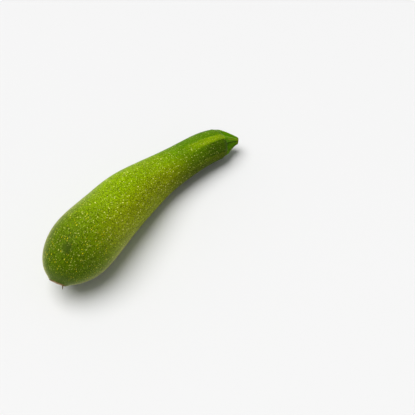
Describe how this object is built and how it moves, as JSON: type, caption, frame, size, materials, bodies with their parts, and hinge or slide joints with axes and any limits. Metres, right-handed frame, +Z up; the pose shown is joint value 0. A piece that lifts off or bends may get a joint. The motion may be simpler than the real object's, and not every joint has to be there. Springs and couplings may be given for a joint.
{
  "type": "zucchini",
  "caption": "Curved club-shaped green zucchini with a ridged cut stem and a corky blossom scar, lying on its side.",
  "frame": {"origin": "under the middle of the whole zucchini's bounding box, on the surface it lies on", "axes": "+X from the blossom end to the stem, +Z up"},
  "size_m": [0.246, 0.0664, 0.0582],
  "materials": {
    "skin": "waxy green skin with pale specks",
    "stem": "ridged green stalk, finely bristly",
    "cork": "dry tan scar tissue"
  },
  "bodies": {
    "root": {"fruit": "skin", "stem": "stem", "blossom_scar": "cork"}
  },
  "joints": []
}
